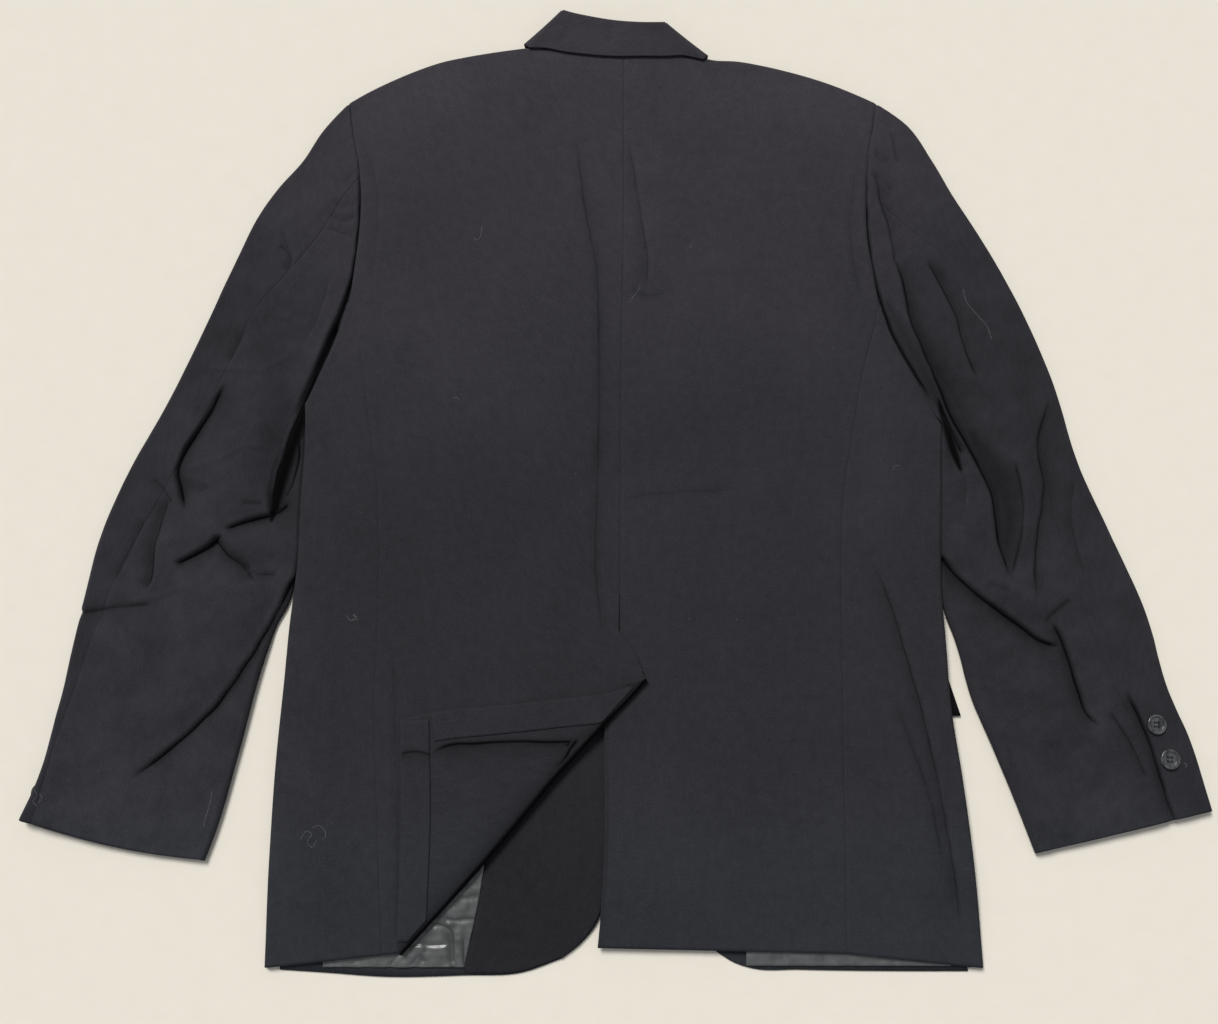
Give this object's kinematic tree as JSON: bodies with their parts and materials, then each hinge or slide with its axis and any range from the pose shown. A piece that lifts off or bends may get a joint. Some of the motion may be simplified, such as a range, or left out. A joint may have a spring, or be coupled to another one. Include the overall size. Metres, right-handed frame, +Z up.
{
  "type": "blazer laid flat",
  "caption": "Black wool blazer laid flat with its back up: tailored sleeves with cuff buttons, a turned-down collar, and a centre vent whose corner is folded up over the back.",
  "frame": {"origin": "on the surface that the blazer lies on, under the middle of its bounding box", "axes": "+X to the wearer's right, which is also the right seen from above, +Y from the hem to the collar, +Z up, out of the back"},
  "size_m": [0.9004, 0.7854, 0.0191],
  "materials": {
    "wool": "fine black worsted wool, matte",
    "lining": "black satin lining, slightly shiny",
    "button": "glossy black, raised rim, sewn on with black thread"
  },
  "bodies": {
    "root": {"back_left": "wool", "back_right": "wool", "side_left": "wool", "side_right": "wool", "front_left": "wool", "front_right": "wool", "facing_left": "wool", "lapel_left": "wool", "lapel_right": "wool", "collar": "wool", "collar_stand": "wool", "topsleeve_left": "wool", "topsleeve_right": "wool", "undersleeve_left": "wool", "undersleeve_right": "wool", "vent_facing": "wool", "hem_facing": "wool", "pocket_flap_left": "wool", "pocket_flap_right": "wool", "lining_left": "lining", "lining_right": "lining", "front_button_1": "button", "front_button_2": "button", "cuff_button_left_1": "button", "cuff_button_left_2": "button", "cuff_button_right_1": "button", "cuff_button_right_2": "button"}
  },
  "joints": []
}
